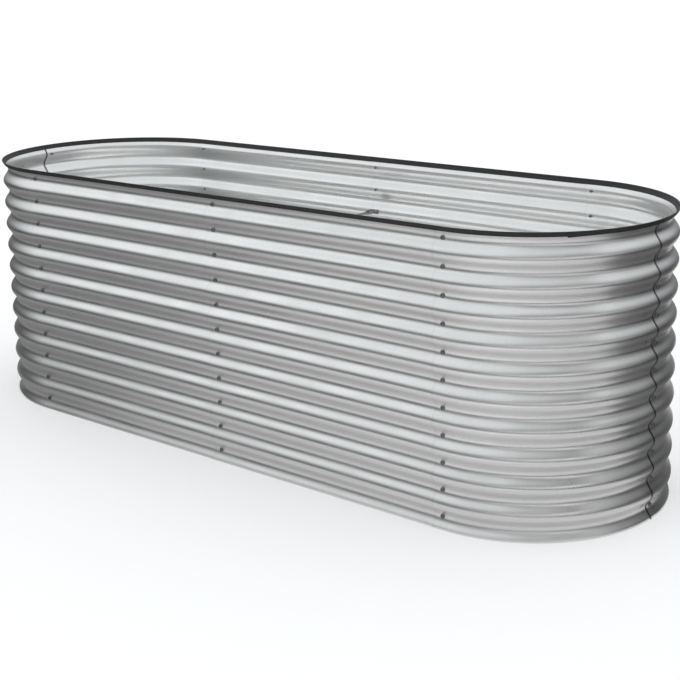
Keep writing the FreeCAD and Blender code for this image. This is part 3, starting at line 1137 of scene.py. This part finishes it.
def ramp(tree, value, stops):
    """Grey level at a value, from pairs of place and grey level."""
    made = node(tree, "ShaderNodeValToRGB", Fac=value)
    elements = made.color_ramp.elements
    while len(elements) > 1:
        elements.remove(elements[0])
    for index, (place, grey) in enumerate(stops):
        stop = elements[0] if index == 0 else elements.new(place)
        stop.position = place
        stop.color = (grey, grey, grey, 1)
    return made.outputs["Color"]


def reflector_card():
    """Glow painted as reflected surroundings: grey on the floor, near black at eye level, pale low
    down by the round end, clear above.
    """
    material = bpy.data.materials.new("reflector_card")
    material.use_nodes = True
    tree = material.node_tree
    tree.nodes.clear()
    x, y, z = axes(tree, node(tree, "ShaderNodeTexCoord").outputs["Object"])
    along = stretch(tree, x, -RING_RADIUS, RING_RADIUS, course="LINEAR")
    angle = maths(tree, "ARCTAN2", y, x)
    way_round = stretch(tree, angle, -math.pi, math.pi, course="LINEAR")
    up = stretch(tree, z, 0, RING_HEIGHT, course="LINEAR")
    # Painted shade on the card's floor: it is palest in front of the bed, and dark behind its
    # right-hand end.
    in_front = stretch(tree, y, -0.9, -0.55, 1.3, 1.0)
    lit = maths(tree, "MULTIPLY", ramp(tree, along, FLOOR_TONES), in_front)
    past_end, behind = stretch(tree, x, 1.0, 1.2), stretch(tree, y, -0.1, 0.25)
    shade = maths(tree, "MULTIPLY", past_end, behind)
    floor_tone = maths(tree, "MULTIPLY", lit, stretch(tree, shade, 0, 1, 1.0, 0.2))
    # Low down in front of the round end the card is pale; the ribs mirror it twice.
    pale = maths(tree, "MULTIPLY", ramp(tree, up, PALE_HEIGHTS), ramp(tree, way_round, PALE_PART))
    card_tone = maths(tree, "MAXIMUM", ramp(tree, way_round, EYE_TONES), pale)
    upright = maths(tree, "GREATER_THAN", z, 0.01)
    tone = blend(tree, "RGBA", upright, floor_tone, card_tone)
    # The card's height changes on its way round, and it fades out over its upper part.
    top = maths(tree, "MULTIPLY", ramp(tree, way_round, CARD_TOPS), RING_HEIGHT)
    fade = stretch(tree, maths(tree, "DIVIDE", z, top), 0.38, 1.0)
    mix = node(tree, "ShaderNodeMixShader", Fac=fade)
    glow = node(tree, "ShaderNodeEmission", Color=tone)
    feed(tree, mix.inputs[1], glow.outputs["Emission"])
    feed(tree, mix.inputs[2], node(tree, "ShaderNodeBsdfTransparent").outputs["BSDF"])
    node(tree, "ShaderNodeOutputMaterial", Surface=mix.outputs["Shader"])
    return material


def softbox(name, place, aim, width, height, watts):
    data = bpy.data.lights.new(name, "AREA")
    data.shape = "RECTANGLE"
    data.size, data.size_y = width, height
    data.energy = watts
    lamp = bpy.data.objects.new(name, data)
    bpy.context.scene.collection.objects.link(lamp)
    turn = (Vector(aim) - Vector(place)).to_track_quat("-Z", "Y").to_matrix().to_4x4()
    lamp.matrix_world = Matrix.Translation(place) @ turn
    lamp.visible_camera = False


def make_lights():
    softbox("front_softbox", place=(-2.7, -3.2, 3.0), aim=(0, -0.4, 0.4),
            width=4.0, height=1.5, watts=5)
    softbox("corner_softbox", place=(3.6, 0.15, 2.4), aim=(1.15, -0.2, 0.4),
            width=0.9, height=0.6, watts=1.2)


def make_camera(scene):
    """The photograph's viewpoint, in a frame as wide as the photograph."""
    yaw, pitch, roll = (math.radians(a) for a in CAMERA_TURN)
    ahead = Vector((math.sin(yaw) * math.cos(pitch), math.cos(yaw) * math.cos(pitch),
                    -math.sin(pitch)))
    level_right = Vector((math.cos(yaw), -math.sin(yaw), 0))
    level_up = level_right.cross(ahead)
    right = level_right * math.cos(roll) + level_up * math.sin(roll)
    up = level_up * math.cos(roll) - level_right * math.sin(roll)
    turn = Matrix((right, up, -ahead)).transposed().to_4x4()
    data = bpy.data.cameras.new("view")
    data.sensor_width = SENSOR_WIDTH
    data.lens = FOCAL_PIXELS / PHOTO_WIDTH * SENSOR_WIDTH
    data.shift_y = CAMERA_SHIFT
    camera = bpy.data.objects.new("view", data)
    scene.collection.objects.link(camera)
    camera.matrix_world = Matrix.Translation(CAMERA_PLACE) @ turn
    scene.camera = camera


class BED_PT_sidebar(bpy.types.Panel):
    """Lists the bed's pieces in the sidebar of the 3D view"""

    bl_idname = "BED_PT_sidebar"
    bl_label = "Garden bed"
    bl_space_type = "VIEW_3D"
    bl_region_type = "UI"
    bl_category = "Garden bed"

    def draw(self, context):
        for operator in OPERATORS:
            self.layout.operator(operator.bl_idname)
        for settings in (context.scene.bed_sizes, context.scene.bed_colours):
            column = self.layout.column()
            for name in settings.__annotations__:
                column.prop(settings, name)


OPERATORS = (
    BED_OT_side_panels,
    BED_OT_corner_panels,
    BED_OT_bolts,
    BED_OT_nuts,
    BED_OT_rim_trim,
    BED_OT_brace,
    BED_OT_wing_nuts,
    BED_OT_stage,
)
CLASSES = (BedSizes, BedColours, *OPERATORS, BED_PT_sidebar)


def register():
    for each in CLASSES:
        bpy.utils.register_class(each)
    bpy.types.Scene.bed_sizes = PointerProperty(type=BedSizes)
    bpy.types.Scene.bed_colours = PointerProperty(type=BedColours)


def unregister():
    del bpy.types.Scene.bed_sizes
    del bpy.types.Scene.bed_colours
    for each in reversed(CLASSES):
        bpy.utils.unregister_class(each)


def main():
    register()
    bpy.ops.bed.side_panels()
    bpy.ops.bed.corner_panels()
    bpy.ops.bed.bolts()
    bpy.ops.bed.nuts()
    bpy.ops.bed.rim_trim()
    bpy.ops.bed.brace()
    bpy.ops.bed.wing_nuts()
    bpy.ops.bed.stage()


if __name__ == "__main__":
    main()
